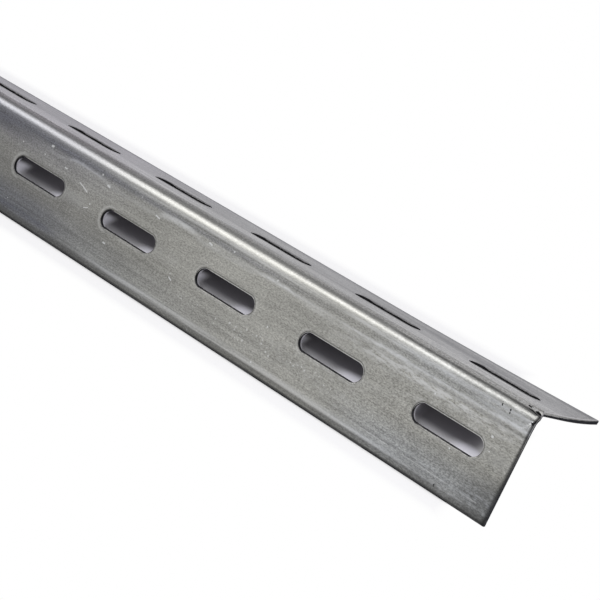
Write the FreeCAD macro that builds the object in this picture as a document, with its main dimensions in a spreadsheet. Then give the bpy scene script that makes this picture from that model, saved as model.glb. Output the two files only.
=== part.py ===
import FreeCAD, Part
import math
import os
import Sketcher

from FreeCAD import Placement, Rotation, Vector

# A steel slotted angle: one strip, punched with two rows of slots and bent lengthwise to an L.
#
# The section is drawn with its outer corner at the body's own origin. The outer face of the back leg
# is then the XY plane and the outer face of the front leg is the XZ plane, so that each row of slots
# is drawn on its own leg's face. The body's placement turns the piece to the way it lies on a floor,
# bend up, on the two long edges, centred on the origin. The length runs along X, and the end that the
# slots are measured from is at +X.

doc = FreeCAD.newDocument("slotted_angle")

# Driving sizes in millimetres
SIZES = (
    ("stock_length", 1000, "length of the piece as it is sold"),
    ("leg_width", 35, "outer corner to long edge, the same on both legs"),
    ("sheet_thickness", 1.5, "thickness of the strip"),
    ("inner_bend_radius", 2.5, "inside radius of the bend"),
    ("front_gauge_line", 17.5, "outer corner to the middle line of the front leg's slots"),
    ("back_gauge_line", 16.5, "outer corner to the middle line of the back leg's slots"),
    ("slot_pitch", 45, "middle to middle of two neighbouring slots"),
    ("end_distance", 22.5, "end of the piece to the middle of the first slot"),
    ("slot_length", 25, "slot from end to end"),
    ("slot_width", 6.5, "slot across"),
    ("slot_rim_bevel", 0.3, "narrow slope that the punch leaves round a slot on the outer face"),
    ("long_edge_round", 0.4, "rounding of the slit long edges on the outer face"),
    ("cut_end_round", 0.25, "rolled rim that the shear leaves round a cut end"),
)

sheet = doc.addObject("Spreadsheet::Sheet", "sizes")
for row, (alias, value, meaning) in enumerate(SIZES, start=1):
    sheet.set(f"A{row}", alias)
    sheet.set(f"B{row}", str(value))
    sheet.set(f"C{row}", meaning)
    sheet.setAlias(f"B{row}", alias)
doc.recompute()

body = doc.addObject("PartDesign::Body", "slotted_angle")
body.Label = "slotted_angle"

TOLERANCE = 1e-4
CORNER = Vector(0, 0, 0)

# A sketch's own numbers for its two axes, and for the points of a line or an arc
H_AXIS, V_AXIS = range(-1, -3, -1)
START, END, CENTRE = range(1, 4)


def origin_feature(role):
    """The body's own plane or axis with this role."""
    return next(item for item in body.Origin.OriginFeatures if item.Role == role)


def new_sketch(name, plane_role):
    sketch = body.newObject("Sketcher::SketchObject", name)
    sketch.AttachmentSupport = [(origin_feature(plane_role), "")]
    sketch.MapMode = "FlatFace"
    return sketch


def bind(sketch, constraint, name, expression):
    """Add a size to a sketch, named, and bound to the sheet."""
    index = sketch.addConstraint(constraint)
    sketch.renameConstraint(index, name)
    sketch.setExpression(f"Constraints.{name}", expression)


def draw_section():
    """The L section: two equal legs joined by concentric bend arcs."""
    leg, wall, inner = sheet.leg_width, sheet.sheet_thickness, sheet.inner_bend_radius
    outer = inner + wall
    sketch = new_sketch("section", "YZ_Plane")
    line, arc, circle = Part.LineSegment, Part.ArcOfCircle, Part.Circle
    bend_centre = Vector(outer, -outer, 0)
    normal = Vector(0, 0, 1)
    sketch.addGeometry([
        line(Vector(leg, 0, 0), Vector(outer, 0, 0)),
        arc(circle(bend_centre, normal, outer), math.pi / 2, math.pi),
        line(Vector(0, -outer, 0), Vector(0, -leg, 0)),
        line(Vector(0, -leg, 0), Vector(wall, -leg, 0)),
        line(Vector(wall, -leg, 0), Vector(wall, -outer, 0)),
        arc(circle(bend_centre, normal, inner), math.pi / 2, math.pi),
        line(Vector(outer, -wall, 0), Vector(leg, -wall, 0)),
        line(Vector(leg, -wall, 0), Vector(leg, 0, 0)),
    ], False)
    back_outer, bend_outer, front_outer, front_edge, front_inner, bend_inner, back_inner, back_edge = range(8)
    make = Sketcher.Constraint
    sketch.addConstraint([
        make("Tangent", back_outer, END, bend_outer, START),
        make("Tangent", bend_outer, END, front_outer, START),
        make("Coincident", front_outer, END, front_edge, START),
        make("Coincident", front_edge, END, front_inner, START),
        make("Tangent", front_inner, END, bend_inner, END),
        make("Tangent", bend_inner, START, back_inner, START),
        make("Coincident", back_inner, END, back_edge, START),
        make("Coincident", back_edge, END, back_outer, START),
        make("Coincident", bend_outer, CENTRE, bend_inner, CENTRE),
        make("Horizontal", back_outer),
        make("Vertical", front_outer),
        make("Horizontal", front_edge),
        make("Vertical", back_edge),
        make("PointOnObject", back_outer, START, H_AXIS),
        make("PointOnObject", front_outer, END, V_AXIS),
    ])
    bind(sketch, make("DistanceX", H_AXIS, START, back_outer, START, leg), "back_leg", "sizes.leg_width")
    bind(sketch, make("DistanceY", front_outer, END, H_AXIS, START, leg), "front_leg", "sizes.leg_width")
    bind(sketch, make("DistanceX", front_edge, START, front_edge, END, wall), "wall", "sizes.sheet_thickness")
    bind(sketch, make("Radius", bend_inner, inner), "bend", "sizes.inner_bend_radius")
    return sketch


def draw_slot(leg, plane_role, across):
    """The first slot of a leg's row, on its outer face. across is +1 or -1, the leg's way in the sketch."""
    gauge_line = getattr(sheet, f"{leg}_gauge_line")
    radius = sheet.slot_width / 2
    reach = (sheet.slot_length - sheet.slot_width) / 2
    middle = Vector(sheet.stock_length / 2 - sheet.end_distance, across * gauge_line, 0)
    right, left = middle + Vector(reach, 0, 0), middle - Vector(reach, 0, 0)
    up = Vector(0, radius, 0)
    normal = Vector(0, 0, 1)
    sketch = new_sketch(f"{leg}_slot_outline", plane_role)
    sketch.addGeometry([
        Part.LineSegment(right + up, left + up),
        Part.ArcOfCircle(Part.Circle(left, normal, radius), math.pi / 2, 3 * math.pi / 2),
        Part.LineSegment(left - up, right - up),
        Part.ArcOfCircle(Part.Circle(right, normal, radius), -math.pi / 2, math.pi / 2),
    ], False)
    upper, round_left, lower, round_right = range(4)
    make = Sketcher.Constraint
    sketch.addConstraint([
        make("Tangent", upper, END, round_left, START),
        make("Tangent", round_left, END, lower, START),
        make("Tangent", lower, END, round_right, START),
        make("Tangent", round_right, END, upper, START),
        make("Equal", round_left, round_right),
        make("Horizontal", upper),
    ])
    bind(sketch, make("Radius", round_right, radius), "half_width", "sizes.slot_width / 2")
    bind(sketch, make("DistanceX", round_left, CENTRE, round_right, CENTRE, 2 * reach), "between_rounds",
         "sizes.slot_length - sizes.slot_width")
    bind(sketch, make("DistanceX", H_AXIS, START, round_right, CENTRE, right.x), "from_middle",
         "sizes.stock_length / 2 - sizes.end_distance + (sizes.slot_length - sizes.slot_width) / 2")
    lower_end, upper_end = (H_AXIS, START), (round_right, CENTRE)
    if across < 0:
        lower_end, upper_end = upper_end, lower_end
    bind(sketch, make("DistanceY", *lower_end, *upper_end, gauge_line), "gauge", f"sizes.{leg}_gauge_line")
    return sketch


def cut_slot(name, sketch):
    """Punch a slot right through its leg, and make sure that it took metal away."""
    before = body.Shape.Volume
    pocket = body.newObject("PartDesign::Pocket", name)
    pocket.Profile = sketch
    pocket.Type = "ThroughAll"
    doc.recompute()
    if body.Shape.Volume > before - TOLERANCE:
        raise RuntimeError(f"{name} cut nothing")
    return pocket


def ease_edges(name, kind, wanted, setting, size):
    """Add a Fillet or Chamfer on the edges that wanted() picks, its setting bound to a size in the sheet."""
    base = body.Tip
    names = [f"Edge{number}" for number, edge in enumerate(base.Shape.Edges, start=1) if wanted(edge)]
    feature = body.newObject(f"PartDesign::{kind}", name)
    feature.Base = (base, names)
    feature.setExpression(setting, f"sizes.{size}")
    doc.recompute()
    return feature


def place_on_leg(edge):
    """Where an edge lies on the outer face of a leg: its least and greatest distance from the outer
    corner, and that leg's gauge line. None for an edge that isn't in either outer face."""
    box = edge.BoundBox
    if abs(box.ZMin) < TOLERANCE and abs(box.ZMax) < TOLERANCE:
        return box.YMin, box.YMax, sheet.back_gauge_line
    if abs(box.YMin) < TOLERANCE and abs(box.YMax) < TOLERANCE:
        return -box.ZMax, -box.ZMin, sheet.front_gauge_line
    return None


def is_slot_rim(edge):
    """True for the outer rim of a slot: it keeps to the band of its row."""
    place = place_on_leg(edge)
    if place is None:
        return False
    nearest, furthest, gauge_line = place
    half_band = sheet.slot_width / 2 + TOLERANCE
    return nearest > gauge_line - half_band and furthest < gauge_line + half_band


def is_long_edge(edge):
    """True for the two slit edges, at the outer face of each leg."""
    place = place_on_leg(edge)
    return place is not None and place[0] > sheet.leg_width - TOLERANCE


def is_cut_end_rim(edge):
    """True for the outer rim round either cut end: both legs and the bend between them."""
    box = edge.BoundBox
    at_an_end = box.XLength < TOLERANCE and abs(abs(box.XMin) - sheet.stock_length / 2) < TOLERANCE
    bend_radius = sheet.inner_bend_radius + sheet.sheet_thickness
    on_bend = abs(box.YLength - bend_radius) < TOLERANCE and abs(box.YMin) < TOLERANCE
    return at_an_end and (on_bend or place_on_leg(edge) is not None)


strip = body.newObject("PartDesign::Pad", "strip")
strip.Profile = draw_section()
strip.Midplane = True
strip.setExpression("Length", "sizes.stock_length")
doc.recompute()

back_slot = cut_slot("back_slot", draw_slot("back", "XY_Plane", 1))
front_slot = cut_slot("front_slot", draw_slot("front", "XZ_Plane", -1))

# As many slots as leave the end distance free at the far end too
SLOT_COUNT = "floor((sizes.stock_length - 2 * sizes.end_distance) / sizes.slot_pitch + 0.001) + 1"
slot_rows = body.newObject("PartDesign::LinearPattern", "slot_rows")
slot_rows.Originals = [back_slot, front_slot]
slot_rows.Direction = (origin_feature("X_Axis"), [""])
slot_rows.Reversed = True
slot_rows.setExpression("Occurrences", SLOT_COUNT)
slot_rows.setExpression("Length", f"({SLOT_COUNT} - 1) * sizes.slot_pitch")
body.Tip = slot_rows
doc.recompute()

ease_edges("slot_rims", "Chamfer", is_slot_rim, "Size", "slot_rim_bevel")
ease_edges("long_edges", "Fillet", is_long_edge, "Radius", "long_edge_round")
ease_edges("cut_ends", "Fillet", is_cut_end_rim, "Radius", "cut_end_round")

# Bend up, each leg sloping down at 45 degrees to the inner corner of its long edge on the floor
body.Placement = Placement(CORNER, Rotation(Vector(1, 0, 0), -45))
body.setExpression("Placement.Base.z", "(sizes.leg_width + sizes.sheet_thickness) * cos(45 deg)")
doc.recompute()

for item in doc.Objects:
    if "Invalid" in item.State or "Error" in item.State:
        raise RuntimeError(f"{item.Name} did not build: {item.State}")
if body.Shape.isNull() or not body.Shape.isValid() or len(body.Shape.Solids) != 1:
    raise RuntimeError("the slotted angle is not one valid solid")

os.makedirs("parts", exist_ok=True)
body.Shape.exportStep(f"parts/{body.Label}.step")
box = body.Shape.BoundBox
print(f"{body.Label}: {box.XLength:.2f} x {box.YLength:.2f} x {box.ZLength:.2f} mm, lowest {box.ZMin:.4f}")
print(f"slots in a row: {slot_rows.Occurrences}, volume {body.Shape.Volume:.1f} cubic mm")
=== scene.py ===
import math

import bmesh
import bpy
import numpy as np
from mathutils import Matrix, Vector


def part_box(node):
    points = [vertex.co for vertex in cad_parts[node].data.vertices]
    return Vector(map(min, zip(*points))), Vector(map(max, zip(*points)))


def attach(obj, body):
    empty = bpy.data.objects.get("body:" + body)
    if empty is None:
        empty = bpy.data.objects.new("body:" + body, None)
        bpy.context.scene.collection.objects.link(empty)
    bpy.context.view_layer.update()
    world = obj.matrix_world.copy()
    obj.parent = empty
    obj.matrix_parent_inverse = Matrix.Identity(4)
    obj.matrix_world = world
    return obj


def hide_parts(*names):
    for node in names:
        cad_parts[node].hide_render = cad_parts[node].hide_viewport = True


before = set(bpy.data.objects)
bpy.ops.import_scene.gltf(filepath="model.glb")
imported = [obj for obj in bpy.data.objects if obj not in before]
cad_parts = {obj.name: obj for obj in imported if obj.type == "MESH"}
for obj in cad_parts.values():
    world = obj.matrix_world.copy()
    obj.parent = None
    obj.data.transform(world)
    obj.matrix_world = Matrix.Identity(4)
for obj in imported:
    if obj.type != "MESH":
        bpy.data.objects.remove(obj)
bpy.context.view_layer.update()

# The slotted angle's sizes, in metres
NODE_LOW, NODE_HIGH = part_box("slotted_angle")
LENGTH = NODE_HIGH.x - NODE_LOW.x
HALF_LENGTH = LENGTH / 2                 # how far each cut end lies from the middle
LEG = 0.035
SHEET = 0.0015
INNER_BEND = 0.0025
BEND = INNER_BEND + SHEET
FRONT_GAUGE = 0.0175
BACK_GAUGE = 0.0165
PITCH = 0.045
END_DISTANCE = 0.0225
SLOT_LENGTH = 0.025
SLOT_WIDTH = 0.0065

# Rolled and sheared edges
ROLL_WIDTH = 0.0006      # how far from a slot's wall the punch drags the face down
ROLL_DEPTH = 0.00020     # and how deep at the wall
LONG_ROLL = 0.0015       # the slit long edges fall away over this width
END_ROLL = 0.0007        # and the cut ends over this
RIM_DEPTH = 0.0004       # by this much
FRONT_LIP = 0.00024      # the front leg's slots are this much tighter on each side, by the lip drawn in
BREAKOUT = 0.00007       # the torn lower part of a wall stands back by this much
BURR = 0.00004

# The back leg's corner at the near end is sprung up a little
LIFT = 0.00105
LIFT_LENGTH = 0.07
LIFT_START = 0.014

# What the shear did to the near end. A turn runs over the bend, from 0 at the front leg to 1 at the back
SWELL_LENGTH = 0.004
FRONT_SWELL = 0.00036
BEND_SWELL = 0.00034
BEND_SWELL_AT = -0.0008
BEND_SWELL_WIDTH = 0.0032
DENT_DEPTH = 0.0009
DENT_START = 0.0034                      # from the cut end. At DENT_FULL from it the dent is at its deepest
DENT_FULL = 0.0006
DENT_TURN = 0.62
DENT_WIDTH = 0.22
NICK_DEPTH = 0.0004
NICK_START = 0.0014
NICK_FULL = 0.0004
NICK_TURN = 0.04
NICK_WIDTH = 0.14

# How finely the sheet is divided
AROUND_STRAIGHT = 12
AROUND_CORNER = 5
AROUND_SIDE = 12
BEND_STEPS = 18
ROLL_STEPS = 4
OUTER_RINGS = (0, 0.03, 0.25, 0.6, 1)    # from a slot's rim to the border of its cell, as shares
INNER_RINGS = (0, 0.04, 0.45, 1)
END_CROWDING = 2.2                       # how strongly the rings crowd towards the cut end
MERGE_DISTANCE = 1e-7
SHARP_ANGLE = math.radians(40)

HALF_BEND = BEND * math.pi / 4           # half the bend's outer arc, as developed
HALF_STRIP = HALF_BEND + LEG - BEND      # half the developed width of the outer face
FRONT_ROW = HALF_BEND - BEND + FRONT_GAUGE    # the slots' middle line on each leg, from the bend's middle
BACK_ROW = HALF_BEND - BEND + BACK_GAUGE
SLOT_REACH = (SLOT_LENGTH - SLOT_WIDTH) / 2
SLOT_COUNT = int((LENGTH - 2 * END_DISTANCE) / PITCH + 0.001) + 1
FIRST_SLOT = HALF_LENGTH - END_DISTANCE
LEAN = math.sqrt(0.5)                    # sine and cosine of each leg's slope of 45 degrees
CORNER_HEIGHT = (LEG + SHEET) * LEAN     # the outer faces would meet at this height over the floor


def ramp(value, low, high):
    return min(max((value - low) / (high - low), 0.0), 1.0)


def corner_lift(x, along):
    """How far the back leg's outer corner at the near end springs up. along is measured from the bend."""
    near = ramp(x, HALF_LENGTH - LIFT_LENGTH, HALF_LENGTH) ** 1.6
    return LIFT * near * ramp(along, LIFT_START, LEG) ** 2.2


def end_swell(x, across):
    """How far the shear has pushed the near end out: all of the front leg's end, and most at the bend."""
    near = ramp(x, HALF_LENGTH - SWELL_LENGTH, HALF_LENGTH - END_ROLL)
    front_leg = ramp(across, 0.003, 0.0)
    bend = max(0.0, 1 - abs(across - BEND_SWELL_AT) / BEND_SWELL_WIDTH)
    return near * (FRONT_SWELL * front_leg + BEND_SWELL * bend)


def shear_dent(x, turn):
    """How deep the shear has crushed and nicked the bend at the near end."""
    dent = ramp(x, HALF_LENGTH - DENT_START, HALF_LENGTH - DENT_FULL) ** 1.5
    dent *= max(0.0, 1 - abs(turn - DENT_TURN) / DENT_WIDTH) ** 0.7
    nick = ramp(x, HALF_LENGTH - NICK_START, HALF_LENGTH - NICK_FULL) ** 2
    nick *= max(0.0, 1 - abs(turn - NICK_TURN) / NICK_WIDTH)
    return DENT_DEPTH * dent + NICK_DEPTH * nick


def fold(x, across, depth):
    """A point of the flat strip, bent to the angle. across runs from the front leg's long edge (negative)
    over the bend to the back leg's; depth is measured inwards from the outer face."""
    if across <= -HALF_BEND:
        y, z = depth, across + HALF_BEND - BEND
    elif across >= HALF_BEND:
        y = across - HALF_BEND + BEND
        z = corner_lift(x, y) - depth
    else:
        turn = (across + HALF_BEND) / (2 * HALF_BEND)
        angle = turn * math.pi / 2
        radius = BEND - depth - shear_dent(x, turn) * (1 - depth / SHEET)
        y, z = BEND - radius * math.cos(angle), radius * math.sin(angle) - BEND
    return Vector((x + end_swell(x, across), (y + z) * LEAN, (z - y) * LEAN + CORNER_HEIGHT))


class Strip:
    """The developed strip as a growing set of points and quads. Shared points are merged at the end."""

    def __init__(self):
        self.points = []
        self.quads = []

    def row(self, points):
        first = len(self.points)
        self.points.extend(points)
        return list(range(first, first + len(points)))

    def join(self, one, other, closed):
        last = len(one) if closed else len(one) - 1
        for i in range(last):
            j = (i + 1) % len(one)
            self.quads.append((one[i], one[j], other[j], other[i]))

    def skin(self, rows, closed=False):
        """Quads between each row of points and the next."""
        rows = [self.row(points) for points in rows]
        for one, other in zip(rows, rows[1:]):
            self.join(one, other, closed)


def slot_loop(middle, across, outset, depth):
    """A loop round a slot, anticlockwise from the lower left of its straight side."""
    half_width = SLOT_WIDTH / 2 - (FRONT_LIP if across < 0 else 0)
    reach = SLOT_LENGTH / 2 - half_width
    radius = half_width + outset
    loop = []
    for i in range(AROUND_STRAIGHT):
        share = i / AROUND_STRAIGHT
        loop.append((middle - reach + 2 * reach * share, across - radius, depth))
    turns = 2 * AROUND_CORNER + AROUND_SIDE
    for i in range(turns):
        angle = math.pi * (i / turns - 0.5)
        x = middle + reach + radius * math.cos(angle)
        loop.append((x, across + radius * math.sin(angle), depth))
    return loop + [(2 * middle - x, 2 * across - y, depth) for x, y, depth in loop]


def cell_columns(left, right, middle):
    """The places along the length where the sheet round one slot is divided, closer towards the cut end."""
    shares = np.linspace(0, 1, AROUND_CORNER + 1)
    if right > HALF_LENGTH - PITCH / 4:
        shares = 1 - (1 - shares) ** END_CROWDING
    return np.concatenate([
        np.linspace(left, middle - SLOT_REACH, AROUND_CORNER + 1)[:-1],
        np.linspace(middle - SLOT_REACH, middle + SLOT_REACH, AROUND_STRAIGHT + 1)[:-1],
        middle + SLOT_REACH + shares * (right - middle - SLOT_REACH)])


def cell_loop(columns, rows, depth):
    """The border of a cell, point for point with slot_loop."""
    start = AROUND_CORNER
    lower = [(x, rows[0], depth) for x in columns[start:-1]]
    right = [(columns[-1], y, depth) for y in rows[:-1]]
    upper = [(x, rows[-1], depth) for x in columns[:0:-1]]
    left = [(columns[0], y, depth) for y in rows[:0:-1]]
    rest = [(x, rows[0], depth) for x in columns[:start]]
    return lower + right + upper + left + rest


def between(one, other, share):
    return [tuple(a + (b - a) * share for a, b in zip(p, q)) for p, q in zip(one, other)]


def add_slot_cell(strip, middle, across, columns, rows):
    """The sheet round one slot: both faces, the rolled rim and the wall."""
    rim = slot_loop(middle, across, ROLL_WIDTH, 0)
    border = cell_loop(columns, rows, 0)
    strip.skin([between(rim, border, share) for share in OUTER_RINGS], closed=True)
    wall = [rim]
    for step in range(ROLL_STEPS - 1, -1, -1):
        share = step / ROLL_STEPS
        wall.append(slot_loop(middle, across, ROLL_WIDTH * share, ROLL_DEPTH * (1 - share) ** 2))
    wall.append(slot_loop(middle, across, 0, SHEET * 0.5))
    wall.append(slot_loop(middle, across, BREAKOUT, SHEET * 0.75))
    wall.append(slot_loop(middle, across, BREAKOUT, SHEET + BURR))
    foot = slot_loop(middle, across, BREAKOUT + 2 * BURR, SHEET)
    wall.append(foot)
    strip.skin(wall, closed=True)
    border = cell_loop(columns, rows, SHEET)
    strip.skin([between(foot, border, share) for share in INNER_RINGS], closed=True)


def add_border(strip, columns, rows):
    """The rim of the whole strip: rolled over at the outer face, square at the inner one."""
    low_x, high_x = columns[0], columns[-1]
    low_y, high_y = rows[0], rows[-1]
    loop = [(x, low_y) for x in columns[:-1]] + [(high_x, y) for y in rows[:-1]]
    loop += [(x, high_y) for x in columns[:0:-1]] + [(low_x, y) for y in rows[:0:-1]]

    def at(share, depth, back=0.0):
        ring = []
        for x, y in loop:
            out_x = (END_ROLL * share - back) * (int(x == high_x) - int(x == low_x))
            out_y = (LONG_ROLL * share - back) * (int(y == high_y) - int(y == low_y))
            ring.append((x + out_x, y + out_y, depth))
        return ring

    rings = [at(0, 0)]
    for step in range(1, 2 * ROLL_STEPS + 1):
        turn = step / (2 * ROLL_STEPS) * math.pi / 2
        rings.append(at(math.sin(turn), RIM_DEPTH * (1 - math.cos(turn))))
    rings.append(at(1, SHEET * 0.6))
    rings.append(at(1, SHEET * 0.8, BURR))
    rings.append(at(1, SHEET, BURR))
    rings.append(at(1, SHEET, 4 * BURR))
    rings.append(at(0, SHEET))
    strip.skin(rings, closed=True)


def build_strip():
    strip = Strip()
    end_x = HALF_LENGTH - END_ROLL
    edge = HALF_STRIP - LONG_ROLL
    middles = [FIRST_SLOT - PITCH * number for number in range(SLOT_COUNT)][::-1]
    front_rows = np.linspace(-edge, -HALF_BEND, AROUND_SIDE + 1)
    back_rows = np.linspace(HALF_BEND, edge, AROUND_SIDE + 1)
    bend_rows = np.linspace(-HALF_BEND, HALF_BEND, BEND_STEPS + 1)
    tail = np.linspace(-end_x, middles[0] - PITCH / 2, AROUND_CORNER + 1)
    all_columns = list(tail[:-1])
    for middle in middles:
        columns = cell_columns(middle - PITCH / 2, min(middle + PITCH / 2, end_x), middle)
        all_columns += list(columns[:-1])
        add_slot_cell(strip, middle, BACK_ROW, columns, back_rows)
        add_slot_cell(strip, middle, -FRONT_ROW, columns, front_rows)
    all_columns.append(end_x)
    for depth in (0, SHEET):
        strip.skin([[(x, y, depth) for x in all_columns] for y in bend_rows])
        for rows in (front_rows, back_rows):
            strip.skin([[(x, y, depth) for x in tail] for y in rows])
    all_rows = list(front_rows[:-1]) + list(bend_rows[:-1]) + list(back_rows)
    add_border(strip, all_columns, all_rows)
    return strip


def make_angle():
    """Bend the strip, and keep each point's place in the flat sheet for the finish."""
    strip = build_strip()
    mesh = bpy.data.meshes.new("steel_angle")
    mesh.from_pydata(strip.points, [], strip.quads)
    work = bmesh.new()
    work.from_mesh(mesh)
    bmesh.ops.remove_doubles(work, verts=work.verts, dist=MERGE_DISTANCE)
    flat = work.verts.layers.float_vector.new("flat")
    for vert in work.verts:
        vert[flat] = vert.co
        vert.co = fold(*vert.co)
    bmesh.ops.recalc_face_normals(work, faces=work.faces)
    loose = [edge for edge in work.edges if len(edge.link_faces) != 2]
    print("faces", len(work.faces), "open edges", len(loose))
    work.to_mesh(mesh)
    work.free()
    mesh.shade_smooth()
    mesh.set_sharp_from_angle(angle=SHARP_ANGLE)
    piece = bpy.data.objects.new("steel_angle", mesh)
    bpy.context.scene.collection.objects.link(piece)
    return piece


class Nodes:
    """Short forms for building a material's nodes."""

    def __init__(self, material):
        material.use_nodes = True
        self.tree = material.node_tree
        self.tree.nodes.clear()

    def put(self, socket, value):
        if isinstance(value, bpy.types.NodeSocket):
            self.tree.links.new(value, socket)
        else:
            socket.default_value = value

    def add(self, kind, inputs=(), **settings):
        node = self.tree.nodes.new(f"ShaderNode{kind}")
        for name, value in settings.items():
            setattr(node, name, value)
        for name, value in dict(inputs).items():
            self.put(node.inputs[name], value)
        return node

    def math(self, operation, one, other=0.0, extra=0.0, clamp=False):
        inputs = {0: one, 1: other, 2: extra}
        return self.add("Math", inputs, operation=operation, use_clamp=clamp).outputs[0]

    def noise(self, place, stretch, scale, detail, roughness):
        """Noise whose features are drawn out along the length."""
        mapped = self.add("Mapping", {"Vector": place, "Scale": (1 / stretch, 1, 1)}).outputs[0]
        inputs = {"Vector": mapped, "Scale": scale, "Detail": detail, "Roughness": roughness}
        return self.add("TexNoise", inputs).outputs["Fac"]

    def remap(self, value, low, high, new_low=0.0, new_high=1.0):
        inputs = {"Value": value, "From Min": low, "From Max": high, "To Min": new_low, "To Max": new_high}
        return self.add("MapRange", inputs, interpolation_type="SMOOTHSTEP").outputs[0]

    def bump_shape(self, value, middle, half_width):
        """1 at the middle, fading smoothly to 0 on both sides."""
        offset = self.math("ABSOLUTE", self.math("SUBTRACT", value, middle))
        return self.remap(offset, 0.0, half_width, 1.0, 0.0)

    def both(self, *masks):
        """The product of several masks."""
        result = masks[0]
        for mask in masks[1:]:
            result = self.math("MULTIPLY", result, mask)
        return result

    def any(self, *masks):
        """The greatest of several masks."""
        result = masks[0]
        for mask in masks[1:]:
            result = self.math("MAXIMUM", result, mask)
        return result

    def without(self, mask):
        return self.math("SUBTRACT", 1.0, mask)

    def wave(self, value, middle, length):
        """1 at the middle and every length from it, 0 half way between."""
        turn = self.math("MULTIPLY", self.math("SUBTRACT", value, middle), 2 * math.pi / length)
        return self.math("MULTIPLY_ADD", self.math("COSINE", turn), 0.5, extra=0.5)

    def stroke(self, place, start, end, half_width, wobble=0.0):
        """A straight mark with soft ends and sides."""
        start, end = Vector((*start, 0.0)), Vector((*end, 0.0))
        run = end - start
        offset = self.add("VectorMath", {0: place, 1: start}, operation="SUBTRACT").outputs[0]
        along = self.add("VectorMath", {0: offset, 1: run / run.length_squared},
                         operation="DOT_PRODUCT").outputs["Value"]
        along = self.math("ADD", along, 0.0, clamp=True)
        nearest = self.add("VectorMath", {0: run, "Scale": along}, operation="SCALE").outputs[0]
        gap = self.add("VectorMath", {0: offset, 1: nearest}, operation="DISTANCE").outputs["Value"]
        gap = self.math("ADD", gap, wobble)
        return self.remap(gap, half_width * 0.5, half_width, 1.0, 0.0)

    def blend(self, share, one, other, how="MIX"):
        node = self.add("Mix", data_type="RGBA", blend_type=how)
        self.put(node.inputs["Factor"], share)
        self.put(node.inputs[6], one)
        self.put(node.inputs[7], other)
        return node.outputs[2]


# The steel's colours. Those called a tint multiply what lies under them
STEEL = (0.379, 0.375, 0.354, 1)
BLUED_TINT = (0.66, 0.67, 0.75, 1)
# Painted cool reflection
COOL_REFLECTION_TINT = (0.95, 0.98, 1.06, 1)
FAR_BACK_TINT = (1.01, 0.985, 1.05, 1)
FAR_FRONT_TINT = (1.0, 1.0, 1.08, 1)
RUBBED = (0.67, 0.672, 0.68, 1)
DARK_GREY = (0.12, 0.12, 0.125, 1)
BRIGHT_MARK = (0.80, 0.81, 0.83, 1)
NICK_BLACK = (0.015, 0.015, 0.016, 1)
HALO = (0.66, 0.66, 0.66, 1)
# Painted shade along the slit edges and on the slots' rolled rims
EDGE_AND_RIM_SHADE = (0.05, 0.05, 0.052, 1)
# Painted shade: the black line round the front slots' left ends and lower sides
RIM_BLACK = (0.014, 0.014, 0.016, 1)
# Painted glint on the front slots' upper rims
GLINT = (0.72, 0.72, 0.72, 1)
BURNISHED_WALL = (0.60, 0.59, 0.60, 1)
# Dark fractured steel, with painted shade in it
TORN_AND_SHADED_WALL = (0.022, 0.022, 0.024, 1)
# Painted light on the front slots' left walls
LIT_WALL = (0.86, 0.85, 0.92, 1)
SHEEN = (0.66, 0.66, 0.71, 1)
NO_SHEEN = (0.04, 0.04, 0.04, 1)

# Places along the strip, from its middle, where a wave of the finish is highest
OIL_MIDDLE = 0.255
OIL_LENGTH = 0.34                        # from one such place to the next
RIGHT_OF_SLOT = 0.450
BETWEEN_SLOTS = 0.410

# Single marks that the photo shows: from, to and half width. The first number of a place is along the strip
# from its middle, the second is across from the bend's middle, negative on the front leg
LONG_SCRATCH = ((0.4450, -0.0292), (0.4953, -0.0296), 0.00020)
SCRATCHES = (
    ((0.3152, -0.0113), (0.3178, -0.0120), 0.00022),
    ((0.3176, -0.0120), (0.3198, -0.0128), 0.00027),
    ((0.3212, -0.0177), (0.3228, -0.0170), 0.00022),
    ((0.3066, -0.0096), (0.3076, -0.0097), 0.00030),
    ((0.2974, -0.0057), (0.2980, -0.0056), 0.00050),
    ((0.3268, -0.0074), (0.3278, -0.0076), 0.00044),
    ((0.3504, -0.0076), (0.3522, -0.0080), 0.00030),
    ((0.3655, -0.0221), (0.3668, -0.0226), 0.00026),
    ((0.3350, -0.0239), (0.3358, -0.0240), 0.00034),
    ((0.3744, -0.0063), (0.3756, -0.0065), 0.00036),
    ((0.4909, -0.0118), (0.4911, -0.0118), 0.00046))
# The first four darken the shear's dent and nick at the bend's near end, painted shade there; the rest are
# dark tool marks
NICKS = (
    ((0.4957, 0.0011), (0.4963, 0.0011), 0.00042),
    ((0.4963, 0.0002), (0.4986, 0.0000), 0.00024),
    ((0.4985, 0.0008), (0.5, 0.0008), 0.00075),
    ((0.4996, -0.0032), (0.5, -0.0026), 0.00060),
    ((0.4891, -0.0021), (0.4894, -0.0030), 0.00014),
    ((0.4923, -0.0028), (0.4925, -0.0040), 0.00014),
    ((0.4814, -0.0316), (0.4816, -0.0319), 0.00024))


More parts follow.
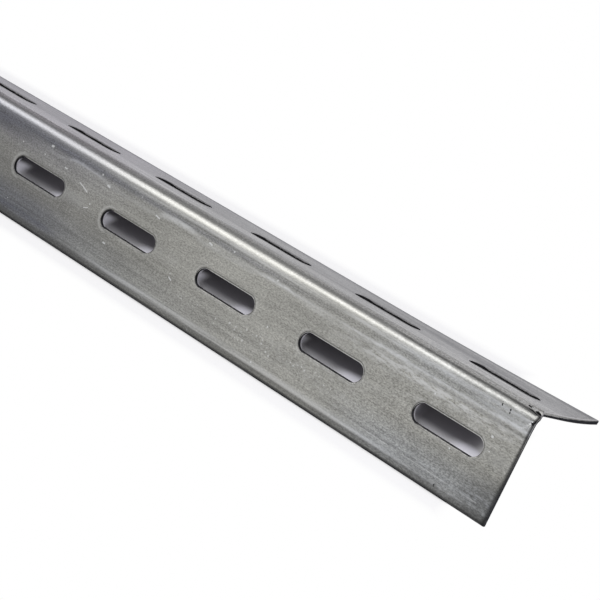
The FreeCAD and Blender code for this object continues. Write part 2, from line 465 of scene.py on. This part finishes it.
class Steel(Nodes):
    """The nodes of the steel's finish, with the coordinates, places and noises that its marks share. Like the
    single marks, every band and stretch has its place on the flat strip, as the photo shows it."""

    def __init__(self, material):
        super().__init__(material)
        self.flat = self.add("Attribute", attribute_name="flat", attribute_type="GEOMETRY").outputs["Vector"]
        place = self.add("SeparateXYZ", {"Vector": self.flat}).outputs
        self.along, self.across, self.depth = place["X"], place["Y"], place["Z"]
        self.from_bend = self.math("ABSOLUTE", self.across)
        self.from_middle = self.math("ABSOLUTE", self.along)
        self.back = self.remap(self.across, -0.0005, 0.0005)
        self.front = self.remap(self.across, -0.0005, 0.0005, 1.0, 0.0)
        self.near_end = self.run(0.430, 0.465)

        # Noises, all drawn out along the length, and most of all the streaks and lines
        self.cloud = self.noise(self.flat, 3.0, 32, 3.0, 0.6)
        self.blotch = self.noise(self.flat, 2.5, 230, 3.0, 0.6)
        self.streak = self.noise(self.flat, 14.0, 420, 3.0, 0.6)
        self.mottle = self.noise(self.flat, 1.6, 620, 3.0, 0.65)
        self.lines = self.noise(self.flat, 45.0, 1100, 2.0, 0.6)
        self.grain = self.noise(self.flat, 2.0, 2500, 3.0, 0.7)
        self.patches = self.remap(self.noise(self.flat, 6.0, 110, 4.0, 0.65), 0.42, 0.60)
        self.broken = self.remap(self.noise(self.flat, 5.0, 900, 3.0, 0.7), 0.38, 0.58)

        # Places round a slot, as seen in the photo: its left end points to the strip's far end
        self.slot_gap, self.along_slot, self.across_slot = self.to_slot()
        self.right_end = self.remap(self.along_slot, SLOT_REACH, SLOT_REACH + SLOT_WIDTH * 0.3)
        self.left_end = self.remap(self.along_slot, -SLOT_REACH - 0.0020, -SLOT_REACH - 0.0002, 1.0, 0.0)
        self.left_part = self.remap(self.along_slot, -SLOT_REACH - 0.0010, -SLOT_REACH + 0.0020, 1.0, 0.0)
        self.lower_side = self.remap(self.across_slot, -0.0005, 0.0015)
        self.upper_side = self.remap(self.across_slot, -0.0015, 0.0005, 1.0, 0.0)

    def to_slot(self):
        """Distance from the nearest slot's wall, counted outwards on the face, and the place along and across
        the slot from its middle."""
        number = self.math("MULTIPLY", self.math("SUBTRACT", FIRST_SLOT, self.along), 1 / PITCH)
        middle = self.math("MULTIPLY_ADD", self.math("ROUND", number), -PITCH, extra=FIRST_SLOT)
        along_slot = self.math("SUBTRACT", self.along, middle)
        row = self.math("MULTIPLY_ADD", self.back, BACK_ROW - FRONT_ROW, extra=FRONT_ROW)
        across_slot = self.math("SUBTRACT", self.from_bend, row)
        half_width = self.math("MULTIPLY_ADD", self.back, FRONT_LIP, extra=SLOT_WIDTH / 2 - FRONT_LIP)
        reach = self.math("SUBTRACT", SLOT_LENGTH / 2, half_width)
        past = self.math("SUBTRACT", self.math("ABSOLUTE", along_slot), reach)
        past = self.math("POWER", self.math("MAXIMUM", past, 0.0), 2.0)
        away = self.math("SQRT", self.math("ADD", past, self.math("POWER", across_slot, 2.0)))
        return self.math("SUBTRACT", away, half_width), along_slot, across_slot

    def run(self, low, high, new_low=0.0, new_high=1.0):
        """A ramp along the length."""
        return self.remap(self.along, low, high, new_low, new_high)

    def down(self, low, high, new_low=0.0, new_high=1.0):
        """A ramp away from the bend, on both legs."""
        return self.remap(self.from_bend, low, high, new_low, new_high)

    def stretch(self, middle, half_length):
        """A stretch of the length, with soft ends."""
        return self.bump_shape(self.along, middle, half_length)

    def band(self, middle, half_width):
        """A soft lengthwise band at this distance from the bend, on both legs."""
        return self.bump_shape(self.from_bend, middle, half_width)

    def thin_line(self, middle, half_width):
        """A soft lengthwise line on one leg, the front one where the middle is negative."""
        return self.bump_shape(self.across, middle, half_width)

    def ring(self, middle, half_width):
        """A soft ring round every slot at this distance from its wall."""
        return self.bump_shape(self.slot_gap, middle, half_width)

    def spread(self, noise, low, high):
        """A noise as a factor between these two."""
        return self.remap(noise, 0.3, 0.7, low, high)

    def uneven(self, noise, size):
        """A noise as an offset of this size, positive and negative."""
        return self.math("MULTIPLY", self.math("SUBTRACT", noise, 0.5), size)

    def scale(self, tone, mask, factor):
        """The tone, times the factor where the mask is 1."""
        return self.both(tone, self.remap(mask, 0.0, 1.0, 1.0, factor))

    def cells(self, scale):
        """Cells strewn over the strip: a random number for each, and the distance from its middle."""
        cell = self.add("TexVoronoi", {"Vector": self.flat, "Scale": scale}, voronoi_dimensions="2D").outputs
        return self.add("SeparateColor", {0: cell["Color"]}).outputs[0], cell["Distance"]

    def strokes(self, marks, wobble=0.0):
        """Several strokes as one mask."""
        return self.any(*[self.stroke(self.flat, *mark, wobble) for mark in marks])


def sheet_tone(steel):
    """The sheet's own mottle, and its drawn lines. They are strongest on the back leg, beside the bend and
    beside the long edges."""
    tone = steel.both(steel.spread(steel.cloud, 0.94, 1.06),
                      steel.spread(steel.blotch, 0.94, 1.06),
                      steel.spread(steel.mottle, 0.96, 1.04),
                      steel.spread(steel.grain, 0.68, 1.32),
                      steel.spread(steel.streak, 0.92, 1.08))
    line_share = steel.any(steel.back, steel.band(0.0035, 0.006), steel.down(0.022, 0.028), 0.5)
    return steel.blend(line_share, tone, steel.both(tone, steel.spread(steel.lines, 0.87, 1.13)))


def oil_film(steel):
    """Dark oil on the front leg. It comes and goes along the length, and is thinner half way down the leg."""
    half_way = steel.band(0.0130, 0.0105)
    film = steel.both(steel.wave(steel.along, OIL_MIDDLE, OIL_LENGTH), steel.front)
    return steel.scale(film, half_way, 0.62)


def paint_bend_reflections(steel, tone):
    """The bend's ridge with a painted highlight, brightened on the base colour and dimmed at the near end,
    and the painted dark and bright reflection lines beside it.
    """
    # Painted highlight: the base colour is raised along the ridge, less so at the near end
    ridge = steel.both(steel.remap(steel.across, -0.0034, -0.0022),
                       steel.remap(steel.across, -0.0004, 0.0010, 1.0, 0.0), 0.5)
    tone = steel.math("ADD", steel.both(tone, steel.without(ridge)), steel.both(ridge, 1.20))
    ridge_end = steel.both(ridge, steel.run(0.462, 0.480))
    tone = steel.both(tone, steel.remap(ridge_end, 0.0, 0.5, 1.0, 0.84))

    # Behind the ridge lies a painted dark reflection band, and behind that a painted brighter line. Both lie
    # farther forward at the near end
    drifting = steel.math("MULTIPLY_ADD", steel.run(0.400, 0.455), 0.0009, extra=steel.across)
    painted_dark_band = steel.bump_shape(drifting, 0.0006, 0.0016)
    tone = steel.both(tone, steel.remap(painted_dark_band, 0.0, 1.0, 1.06, 0.85))
    drifting = steel.math("MULTIPLY_ADD", steel.near_end, 0.0004, extra=steel.across)
    painted_bright_line = steel.both(steel.bump_shape(drifting, 0.0018, 0.0018),
                             steel.remap(steel.near_end, 0.0, 1.0, 1.12, 1.30))
    tone = steel.both(tone, steel.any(painted_bright_line, 1.0))

    # Painted reflection: lighter and darker lines beside the ridge that shape its highlight
    shoulder = steel.thin_line(0.0010, 0.0008)
    crease = steel.both(steel.run(0.443, 0.453), steel.thin_line(-0.0001, 0.0006))
    beside_crease = steel.both(steel.run(0.443, 0.453), steel.thin_line(0.0006, 0.0005))
    far_back = steel.both(steel.run(0.300, 0.345, 1.0, 0.0), steel.thin_line(0.0021, 0.0018))
    dark_back_band = steel.both(steel.stretch(0.400, 0.045), steel.thin_line(0.0034, 0.0024))
    under_ridge = steel.both(steel.run(0.375, 0.440), steel.thin_line(-0.0021, 0.0008))
    below_ridge = steel.both(steel.stretch(0.385, 0.050), steel.thin_line(-0.0037, 0.0009))
    for mask, factor in ((shoulder, 1.35), (crease, 0.62), (beside_crease, 1.2), (far_back, 1.2),
                         (dark_back_band, 0.78), (under_ridge, 0.64), (below_ridge, 0.84)):
        tone = steel.scale(tone, mask, factor)
    return tone


def coarsen(steel, tone):
    """The near end has a coarser grain."""
    coarse_grain = steel.remap(steel.math("ADD", steel.grain, steel.mottle), 0.75, 1.25, 0.92, 1.08)
    return steel.blend(steel.near_end, tone, steel.both(tone, coarse_grain))


def rub_back_leg(steel, tone):
    """The back leg is rubbed bright beside the bend, most of all between the slots."""
    between_slots = steel.wave(steel.along, BETWEEN_SLOTS, PITCH)
    between_slots = steel.both(between_slots, steel.band(0.0045, 0.0065), 0.40)
    rubbed = steel.math("ADD", steel.down(0.0095, 0.0125, 0.90, 0.35), between_slots)
    return steel.scale(tone, steel.both(steel.back, rubbed), 1.42)


def smudges(steel):
    """Darker smudges, most of them at the near end."""
    front = steel.any(steel.both(steel.run(0.478, 0.5), steel.down(0.016, 0.026)),
                      steel.both(steel.run(0.445, 0.475), steel.down(0.017, 0.023), 0.28),
                      steel.both(steel.stretch(0.405, 0.060), steel.band(0.0255, 0.0065), 0.28))
    back = steel.any(steel.both(steel.run(0.470, 0.5), steel.down(0.012, 0.02), 0.45),
                     steel.both(steel.run(0.462, 0.475), steel.band(0.0065, 0.004), 0.35),
                     steel.both(steel.stretch(0.462, 0.065), steel.band(0.0235, 0.007), 0.92))
    return steel.any(steel.both(steel.front, front), steel.both(steel.back, back))


def blue_bands(steel):
    """Darker bluish bands on the front leg: beside the bend, and low on the leg at the far end."""
    beside_bend = steel.both(steel.band(0.0047, 0.0018), steel.run(0.390, 0.450, 0.75, 0.0))
    wider = steel.both(steel.band(0.0060, 0.0058), steel.run(0.275, 0.300, 1.0, 0.0), 0.9)
    low = steel.both(steel.band(0.0304, 0.0024), steel.run(0.306, 0.320, 1.0, 0.0))
    low_wider = steel.both(steel.band(0.0275, 0.0060), steel.run(0.300, 0.325, 0.6, 0.0))
    return steel.both(steel.any(beside_bend, wider, low, low_wider), steel.front,
                      steel.remap(steel.streak, 0.25, 0.60, 0.5, 1.0))


def wavy_line(steel):
    """A light wavy line below the bend, with a hump right of each slot."""
    hump = steel.remap(steel.wave(steel.along, RIGHT_OF_SLOT, PITCH), 0.35, 1.0)
    height = steel.math("MULTIPLY_ADD", hump, -0.0013, extra=0.0073)
    drift = steel.math("SUBTRACT", steel.math("ADD", steel.streak, steel.blotch), 1.0)
    place = steel.math("MULTIPLY_ADD", drift, 0.0016, extra=steel.from_bend)
    gap = steel.math("ABSOLUTE", steel.math("SUBTRACT", place, height))
    return steel.both(steel.remap(gap, 0.0001, 0.0011, 1.0, 0.0), steel.any(hump, 0.35),
                      steel.run(0.282, 0.300), steel.run(0.290, 0.400, 0.35, 1.0),
                      steel.remap(steel.mottle, 0.35, 0.55, 0.65, 1.0),
                      steel.remap(steel.broken, 0.0, 0.6, 0.65, 1.0))


def rubbed_streaks(steel):
    """Lighter rubbed streaks on the front leg: lines and haze below the bend, strongest at the near end, and
    a streaky band low on the leg, which fades towards the near corner."""
    band, run = steel.band, steel.run
    broken_patches = steel.both(steel.patches, steel.broken)
    half_broken = steel.remap(steel.broken, 0.0, 0.6, 0.6, 1.0)
    half_mottled = steel.remap(steel.mottle, 0.35, 0.55, 0.5, 1.0)
    corner = run(0.445, 0.487, 1.0, 0.12)
    haze = steel.any(band(0.0088, 0.0034),
                     steel.both(band(0.0062, 0.0012), steel.remap(steel.lines, 0.35, 0.55)))
    right_of_slots = steel.remap(steel.wave(steel.along, RIGHT_OF_SLOT, PITCH), 0.72, 0.95)
    streaks = (
        wavy_line(steel),
        steel.both(band(0.0031, 0.0010), run(0.30, 0.40, 0.10, 1.0), half_broken,
                   steel.remap(steel.lines, 0.30, 0.62, 0.4, 1.0), 0.66),
        steel.both(band(0.0034, 0.0011), steel.near_end, steel.remap(steel.broken, 0.0, 0.6, 0.4, 1.0), 0.40),
        steel.both(band(0.0030, 0.0007), steel.stretch(0.438, 0.016), 0.70),
        steel.both(band(0.0049, 0.0011), run(0.476, 0.485), 0.42),
        steel.both(band(0.0063, 0.0010), steel.stretch(0.410, 0.040), 0.574),
        steel.both(band(0.0063, 0.0008), run(0.424, 0.436), half_mottled, 0.80),
        steel.both(haze, run(0.415, 0.452), steel.any(broken_patches, steel.both(steel.broken, 0.6)), 0.90),
        steel.both(band(0.0168, 0.0036), right_of_slots, steel.patches, 0.18),
        steel.both(broken_patches, run(0.37, 0.44), steel.remap(steel.mottle, 0.40, 0.60), 0.24),
        steel.both(band(0.0311, 0.0017), run(0.318, 0.350), corner,
                   steel.remap(steel.lines, 0.30, 0.60, 0.35, 1.0), 0.60),
        steel.both(band(0.0285, 0.0050), run(0.360, 0.430, 0.1, 1.0), corner,
                   steel.remap(steel.lines, 0.35, 0.65, 0.3, 1.0), steel.any(broken_patches, 0.3), 0.14))
    return steel.both(steel.any(*streaks), steel.front)


def painted_cool_reflection(steel, film):
    """Painted cool reflection on the front leg: beside the bend and low on the leg, in the oil and at the
    near end.
    """
    place = steel.any(steel.both(steel.band(0.004, 0.005), 0.6), steel.band(0.029, 0.009))
    return steel.both(place, steel.any(film, steel.near_end), steel.front)


def dark_lines(steel):
    """Two thin dark lines in the rubbed part of the front leg, towards the near end."""
    upper = steel.both(steel.band(0.0046, 0.0008), steel.run(0.435, 0.455),
                       steel.run(0.476, 0.486, 0.26, 0.05), steel.remap(steel.blotch, 0.35, 0.5))
    lower = steel.both(steel.band(0.0075, 0.0007), steel.run(0.458, 0.467), 0.38)
    return steel.both(steel.any(upper, lower), steel.front)


def bright_marks(steel):
    """Light specks, a field of finer ones low on the front leg, and the scratches."""
    chance, distance = steel.cells(260)
    size = steel.any(steel.remap(steel.both(chance, steel.patches), 0.80, 1.0, 0.0, 0.10),
                     steel.remap(chance, 0.95, 1.0, 0.0, 0.10))
    speck = steel.remap(steel.math("SUBTRACT", size, distance), 0.0, 0.03)
    chance, distance = steel.cells(720)
    field = steel.both(steel.band(0.0248, 0.0040), steel.stretch(0.412, 0.070), steel.front)
    size = steel.both(steel.remap(field, 0.0, 0.6), steel.remap(chance, 0.40, 1.0, 0.0, 0.30),
                      steel.remap(steel.blotch, 0.35, 0.6, 0.3, 1.0))
    fine_speck = steel.remap(steel.math("SUBTRACT", size, distance), 0.0, 0.06)
    long_scratch = steel.strokes([LONG_SCRATCH], steel.both(steel.broken, 0.00012))
    scratch = steel.any(steel.both(long_scratch, 0.5), steel.strokes(SCRATCHES))
    return steel.any(steel.both(speck, 0.7), steel.both(fine_speck, 0.50), steel.both(scratch, 0.75))


def edge_shade(steel):
    """Painted shade: a dark line along the slit edges, with a softer one beside it on the back leg."""
    to_edge = steel.math("ADD", steel.from_bend, steel.uneven(steel.streak, 0.0007))
    return steel.any(
        steel.remap(to_edge, HALF_STRIP - 0.0028, HALF_STRIP - 0.0020, 0.0, 0.50),
        steel.remap(to_edge, HALF_STRIP - 0.0018, HALF_STRIP - 0.0004, 0.0, 0.94),
        steel.both(steel.remap(to_edge, HALF_STRIP - 0.0050, HALF_STRIP - 0.0020, 0.0, 0.50), steel.back))


def rim_coats(steel):
    """The slots' rims, as masks with their colours: a lighter halo round them, painted shade on the rolled
    sheet, a black line of painted shade round the front slots' left ends and lower sides, and a painted glint
    on their upper sides."""
    gap, front, lower_side = steel.slot_gap, steel.front, steel.lower_side
    left_part, upper_side = steel.left_part, steel.upper_side
    shaded = steel.scale(steel.both(steel.any(steel.left_end, lower_side), front), steel.right_end, 0.0)
    patchy = steel.remap(steel.mottle, 0.36, 0.54, 0.3, 1.0)
    halo = steel.both(steel.ring(0.0008, 0.0006), patchy, front, steel.any(shaded, steel.right_end), 0.26)
    far_halo = steel.both(steel.ring(0.0011, 0.0008), left_part, front, steel.run(0.345, 0.365, 0.40, 0.0))
    # Painted shade on the rolled rims round the slots
    skin = steel.any(
        steel.both(steel.ring(ROLL_WIDTH, 0.00025), 0.22),
        steel.both(steel.remap(gap, 0.00020, 0.00050, 0.75, 0.0), shaded, lower_side),
        steel.both(steel.ring(0.00042, 0.00026), upper_side, front, steel.without(left_part), 0.62))
    broken_line = steel.any(steel.remap(steel.mottle, 0.40, 0.52, 0.5, 1.0), steel.run(0.44, 0.46, 1.0, 0.0))
    # Painted shade: a black line round the front slots' left ends and lower sides
    black_line = steel.any(
        steel.both(steel.remap(gap, 0.00022, 0.00046, 0.97, 0.0), front, left_part),
        steel.both(steel.remap(gap, 0.00015, 0.00038, 0.95, 0.0), front, lower_side, broken_line,
                   steel.remap(steel.along_slot, SLOT_REACH, SLOT_REACH + 0.0024, 1.0, 0.45)))
    # Painted glint along the front slots' upper rims
    glint = steel.both(steel.ring(0.00008, 0.00018), upper_side, front, steel.run(0.33, 0.40, 0.1, 0.75))
    return ((steel.any(halo, far_halo), HALO), (steel.any(edge_shade(steel), skin), EDGE_AND_RIM_SHADE),
            (black_line, RIM_BLACK), (glint, GLINT))


def burnished_share(steel, cut):
    """How much of the sheet's thickness the punch and the shear have left burnished, from the outer face."""
    from_slot = steel.math("ABSOLUTE", steel.along_slot)
    straight = steel.remap(from_slot, SLOT_REACH * 0.75, SLOT_REACH + SLOT_WIDTH * 0.30, 1.0, 0.1)
    return steel.any(steel.both(steel.back, straight, 0.26), steel.both(steel.right_end, steel.front, 0.30),
                     steel.both(cut, steel.remap(steel.across, 0.004, 0.030, 0.56, 0.30)), 0.03)


def wall_share(steel, cut):
    """1 where a place under the outer face belongs to a wall, 0 where it belongs to a rolled edge or rim."""
    off_edge = steel.any(steel.down(HALF_STRIP - 0.0006, HALF_STRIP - 0.0001), cut,
                         steel.down(HALF_STRIP - 0.0020, HALF_STRIP - 0.0016, 1.0, 0.0))
    off_rim = steel.any(steel.remap(steel.slot_gap, 0.00001, 0.00006, 1.0, 0.0),
                        steel.remap(steel.slot_gap, 0.0008, 0.0010))
    end_start = HALF_LENGTH - END_ROLL
    on_end = steel.both(steel.remap(steel.from_middle, end_start - 0.0002, end_start), steel.back,
                        steel.remap(steel.depth, RIM_DEPTH, RIM_DEPTH + 0.0001, 1.0, 0.0))
    return steel.both(off_edge, off_rim, steel.without(on_end))


def wall_masks(steel):
    """The slots' walls and the cut ends: burnished under the rim, then fractured and dark, that dark partly
    painted shade. The cut ends are black, as painted shade, but for a lit strip, and the front slots' left
    walls get painted light."""
    ragged = steel.uneven(steel.mottle, 0.0005)
    # The back leg's cut end, darkened as painted shade
    cut = steel.both(steel.remap(steel.from_middle, HALF_LENGTH - 0.00010, HALF_LENGTH - 0.00003), steel.back)
    wall = steel.both(steel.remap(steel.depth, 0.00003, 0.00010), steel.back, steel.without(cut))
    # Painted light on the front slots' left walls, where the steel is also made less metallic
    lit = steel.both(steel.remap(steel.depth, SHEET * 0.34, SHEET * 0.72), steel.front, steel.left_end,
                     steel.remap(steel.across_slot, -0.0026, -0.0006),
                     steel.remap(steel.slot_gap, 0.00006, 0.00016, 1.0, 0.0))

    # Painted shade: a black line along the front leg's sheared end, with a lit strip left in it
    to_end = steel.math("ADD", steel.from_middle, ragged)
    to_end = steel.math("MULTIPLY_ADD", steel.back, -0.0007, extra=to_end)
    line_start = steel.down(0.010, 0.030, HALF_LENGTH - 0.0008, HALF_LENGTH - 0.0015)
    end_shade_line = steel.both(steel.remap(to_end, line_start, HALF_LENGTH - 0.00015, 0.0, 0.82), steel.front)
    lit_depth = steel.math("MULTIPLY_ADD", steel.back, SHEET * 0.2, extra=steel.depth)
    lit_strip = steel.both(steel.bump_shape(lit_depth, SHEET * 0.5, SHEET * 0.30), end_shade_line,
                           steel.remap(steel.across, -0.020, -0.001, 0.10, 0.95),
                           steel.remap(steel.across, 0.004, 0.024, 1.0, 0.15))

    under_face = steel.math("GREATER_THAN", steel.depth, 0.00001)
    below = steel.math("ADD", steel.depth, steel.both(ragged, under_face))
    below = steel.math("SUBTRACT", below, steel.both(burnished_share(steel, cut), SHEET))
    torn_and_shaded = steel.both(steel.remap(below, -0.00004, 0.00004), steel.without(steel.both(lit, 0.80)),
                      wall_share(steel, cut),
                      steel.remap(steel.depth, SHEET * 0.96, SHEET * 0.999, 1.0, 0.0))
    torn_and_shaded = steel.math("SUBTRACT", steel.any(torn_and_shaded, end_shade_line), lit_strip, clamp=True)
    return wall, cut, torn_and_shaded, lit


def steel_material():
    """Bare cold rolled sheet: warm grey and mottled, with a dark oil film that comes and goes along the
    length, rubbed cool streaks beside the bend, specks, scratches and dark sheared edges, their dark partly
    painted shade. Also painted: the bend's highlight and the reflection lines beside it, a cool reflected
    tint, shade at the slit edges and slot rims, a glint on the front slots' upper rims and light on their
    left walls."""
    material = bpy.data.materials.new("bare_steel")
    steel = Steel(material)
    film = oil_film(steel)
    tone = paint_bend_reflections(steel, steel.scale(sheet_tone(steel), film, 0.62))
    tone = rub_back_leg(steel, coarsen(steel, tone))
    tone = steel.scale(tone, smudges(steel), 0.60)
    base = steel.blend(1.0, STEEL, tone, "MULTIPLY")

    base = steel.blend(blue_bands(steel), base, BLUED_TINT, "MULTIPLY")
    base = steel.blend(rubbed_streaks(steel), base, RUBBED)
    far_back = steel.both(steel.back, steel.run(0.300, 0.370, 1.0, 0.0))
    far_front = steel.both(steel.front, steel.run(0.300, 0.355, 1.0, 0.0), steel.down(0.008, 0.015, 1.0, 0.3))
    for mask, tint in ((painted_cool_reflection(steel, film), COOL_REFLECTION_TINT), (far_back, FAR_BACK_TINT),
                       (far_front, FAR_FRONT_TINT)):
        base = steel.blend(mask, base, tint, "MULTIPLY")

    wall, cut, torn_and_shaded, lit = wall_masks(steel)
    coats = [(dark_lines(steel), DARK_GREY), (bright_marks(steel), BRIGHT_MARK),
             (steel.strokes(NICKS, steel.uneven(steel.grain, 0.0012)), NICK_BLACK)]
    coats += rim_coats(steel)
    coats += [(steel.both(wall, 0.85), BURNISHED_WALL), (steel.both(cut, 0.55), DARK_GREY), (torn_and_shaded, TORN_AND_SHADED_WALL),
              (steel.both(lit, steel.run(0.30, 0.48, 0.95, 0.55)), LIT_WALL)]
    for mask, colour in coats:
        base = steel.blend(mask, base, colour)

    height = steel.math("ADD", steel.both(steel.streak, 0.6),
                        steel.math("ADD", steel.grain, steel.both(steel.mottle, 1.5)))
    torn_in_slot = steel.both(torn_and_shaded, steel.remap(steel.slot_gap, 0.0006, 0.0008, 1.0, 0.0))
    shader = steel.add("BsdfPrincipled", {
        "Base Color": base,
        "Metallic": steel.remap(lit, 0.0, 1.0, 1.0, 0.2),
        "Roughness": steel.math("ADD", steel.spread(steel.cloud, 0.40, 0.34), steel.both(torn_and_shaded, 0.25)),
        "Normal": steel.add("Bump", {"Height": height, "Strength": 0.25, "Distance": 0.00005}).outputs[0],
        "Specular Tint": steel.blend(torn_in_slot, SHEEN, NO_SHEEN)})
    steel.add("OutputMaterial", {"Surface": shader.outputs[0]})
    return material


# The floor: paper beside the piece, painted shade under it, and a painted light spot that the first slot's
# left end shows
FLOOR_REACH = 30.0
PAPER = (0.80, 0.79, 0.83, 1)
FAR_SHADE = (0.330, 0.316, 0.350, 1)
NEAR_SHADE = (0.205, 0.197, 0.218, 1)
LIGHT_SPOT = (0.60, 0.58, 0.66, 1)
LIGHT_SPOT_X = 0.4545
LIGHT_SPOT_Y = -0.0035
LIGHT_SPOT_SIZE = 0.0055
WHITE = (1, 1, 1, 1)
# Painted light, glowing in the floor under the front slots
PAINTED_SLOT_LIGHT = (0.91, 0.90, 1.0, 1)
CELL_START = FIRST_SLOT - 0.012          # where the floor that the first slot shows begins


def painted_slot_light(make, x, y):
    """Painted pools of light on the floor under the front slots, standing in for light that falls through
    them: each slot shows the lower part, and more of it on the right.
    """
    cell = make.math("FRACT", make.math("MULTIPLY_ADD", x, 1 / PITCH, extra=-CELL_START / PITCH))
    edge = make.math("MULTIPLY_ADD", cell, 0.0053, extra=-0.0056)
    return make.both(make.remap(cell, 0.11, 0.245), make.remap(cell, 0.70, 0.82, 1.0, 0.0),
                     make.remap(make.math("SUBTRACT", y, edge), -0.0014, 0.0014, 1.0, 0.0),
                     make.remap(x, 0.29, 0.48, 0.29, 0.34))


def floor_material():
    """Matt paper: painted shade under the piece, light beside it, and painted pools of light under the front
    slots. Farther off it is plain white to the eye and to the metal."""
    material = bpy.data.materials.new("white_paper")
    make = Nodes(material)
    place = make.add("SeparateXYZ", {"Vector": make.add("TexCoord").outputs["Object"]}).outputs
    x, y = place["X"], place["Y"]
    beside = make.math("SUBTRACT", make.math("ABSOLUTE", y), LEG * 0.7)
    past_end = make.math("SUBTRACT", make.math("ABSOLUTE", x), HALF_LENGTH)

    # Painted shade under the piece, darker towards the near end, with a painted light spot in it
    under = make.both(make.remap(y, -0.0071, -0.0033), make.remap(beside, -0.008, -0.002, 1.0, 0.0),
                      make.remap(past_end, -0.026, -0.008, 1.0, 0.0))
    shade = make.blend(make.remap(x, 0.26, 0.49), FAR_SHADE, NEAR_SHADE)
    spot = make.both(make.bump_shape(x, LIGHT_SPOT_X, LIGHT_SPOT_SIZE),
                     make.bump_shape(y, LIGHT_SPOT_Y, LIGHT_SPOT_SIZE))
    shade = make.blend(spot, shade, LIGHT_SPOT)
    paper = make.add("BsdfDiffuse", {"Color": make.blend(under, PAPER, shade)}).outputs[0]

    # Painted pools of light, glowing to the eye, under the front slots
    patch = painted_slot_light(make, x, y)
    behind = make.both(make.remap(y, 0.002, 0.012), make.remap(past_end, -0.040, -0.024))
    beyond = make.any(make.remap(beside, -0.0035, -0.0005, 0.0, 0.62), make.remap(beside, -0.001, 0.006),
                      make.remap(past_end, -0.022, -0.010), behind)
    tinted = make.remap(make.math("SUBTRACT", patch, beyond), 0.0, 0.1)
    colour = make.blend(tinted, WHITE, PAINTED_SLOT_LIGHT)
    white = make.add("Emission", {"Color": colour, "Strength": 1.0}).outputs[0]
    path = make.add("LightPath").outputs
    seen = make.any(path["Is Camera Ray"], path["Is Glossy Ray"], path["Is Transmission Ray"])
    share = make.both(seen, make.any(beyond, patch))
    surface = make.add("MixShader", {0: share, 1: paper, 2: white}).outputs[0]
    make.add("OutputMaterial", {"Surface": surface})
    return material


def make_floor():
    mesh = bpy.data.meshes.new("floor")
    reach = FLOOR_REACH
    corners = [(-reach, -reach, 0), (reach, -reach, 0), (reach, reach, 0), (-reach, reach, 0)]
    mesh.from_pydata(corners, [], [(0, 1, 2, 3)])
    floor = bpy.data.objects.new("floor", mesh)
    floor.data.materials.append(floor_material())
    bpy.context.scene.collection.objects.link(floor)


# The room's colour in front of the piece and behind it. Each lamp: place, aim, width, height and radiance
ROOM_IN_FRONT = (0.40, 0.40, 0.39, 1)
ROOM_BEHIND = (0.37, 0.37, 0.39, 1)
LAMPS = {
    "top_box": ((-0.33, -0.145, 0.9), (-0.33, -0.02, 0), 1.5, 0.59, 2.6),
    "front_box": ((-0.2, -0.8, 0.55), (0.38, 0, 0), 0.8, 0.5, 0.5),
    "near_box": ((0.6, -0.13, 0.32), (0.45, 0, 0), 0.16, 0.16, 6.5)}


def soft_box(name, at, aim, width, height, radiance):
    """A white area lamp, its width level. Its power follows from its size and radiance."""
    lamp = bpy.data.lights.new(name, "AREA")
    lamp.shape = "RECTANGLE"
    lamp.size, lamp.size_y = width, height
    lamp.energy = radiance * math.pi * width * height
    box = bpy.data.objects.new(name, lamp)
    box.location = at
    box.rotation_euler = (Vector(aim) - Vector(at)).to_track_quat("-Z", "Y").to_euler()
    box.visible_camera = False
    bpy.context.scene.collection.objects.link(box)


def make_light():
    """Overhead soft box, smaller ones in front and beside the near end, and a room that is darker behind the
    piece and towards the far end."""
    world = bpy.data.worlds.new("studio")
    world.use_nodes = True
    make = Nodes(world)
    way = make.add("SeparateXYZ", {"Vector": make.add("TexCoord").outputs["Generated"]}).outputs
    room = make.blend(make.remap(way["Y"], -0.35, 0.35), ROOM_IN_FRONT, ROOM_BEHIND)
    towards_far_end = make.remap(way["X"], -0.85, -0.4, 0.55, 1.0)
    room = make.blend(1.0, room, towards_far_end, "MULTIPLY")
    air = make.add("Background", {"Color": room, "Strength": 1.0}).outputs[0]
    make.add("OutputWorld", {"Surface": air})
    bpy.context.scene.world = world
    for name, lamp in LAMPS.items():
        soft_box(name, *lamp)


# The camera, from a fit of the piece's edges and slots in the photo
CAMERA_AT = Vector((0.73068, -0.26683, 0.38656))
CAMERA_AIM = Vector((0.40773, -0.00033, 0.0129))
CAMERA_ROLL = math.radians(-7.766)
CAMERA_LENS = 112.93
SENSOR_WIDTH = 36
CLIP_START = 0.01


def make_camera():
    data = bpy.data.cameras.new("camera")
    data.lens = CAMERA_LENS
    data.sensor_width = SENSOR_WIDTH
    data.clip_start = CLIP_START
    camera = bpy.data.objects.new("camera", data)
    turn = (CAMERA_AIM - CAMERA_AT).to_track_quat("-Z", "Y").to_matrix().to_4x4()
    camera.matrix_world = Matrix.Translation(CAMERA_AT) @ turn @ Matrix.Rotation(CAMERA_ROLL, 4, "Z")
    bpy.context.scene.collection.objects.link(camera)
    bpy.context.scene.camera = camera


angle = make_angle()
angle.data.materials.append(steel_material())
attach(angle, "root")
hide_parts("slotted_angle")
make_floor()
make_light()
make_camera()
bpy.context.scene.view_settings.view_transform = "Standard"
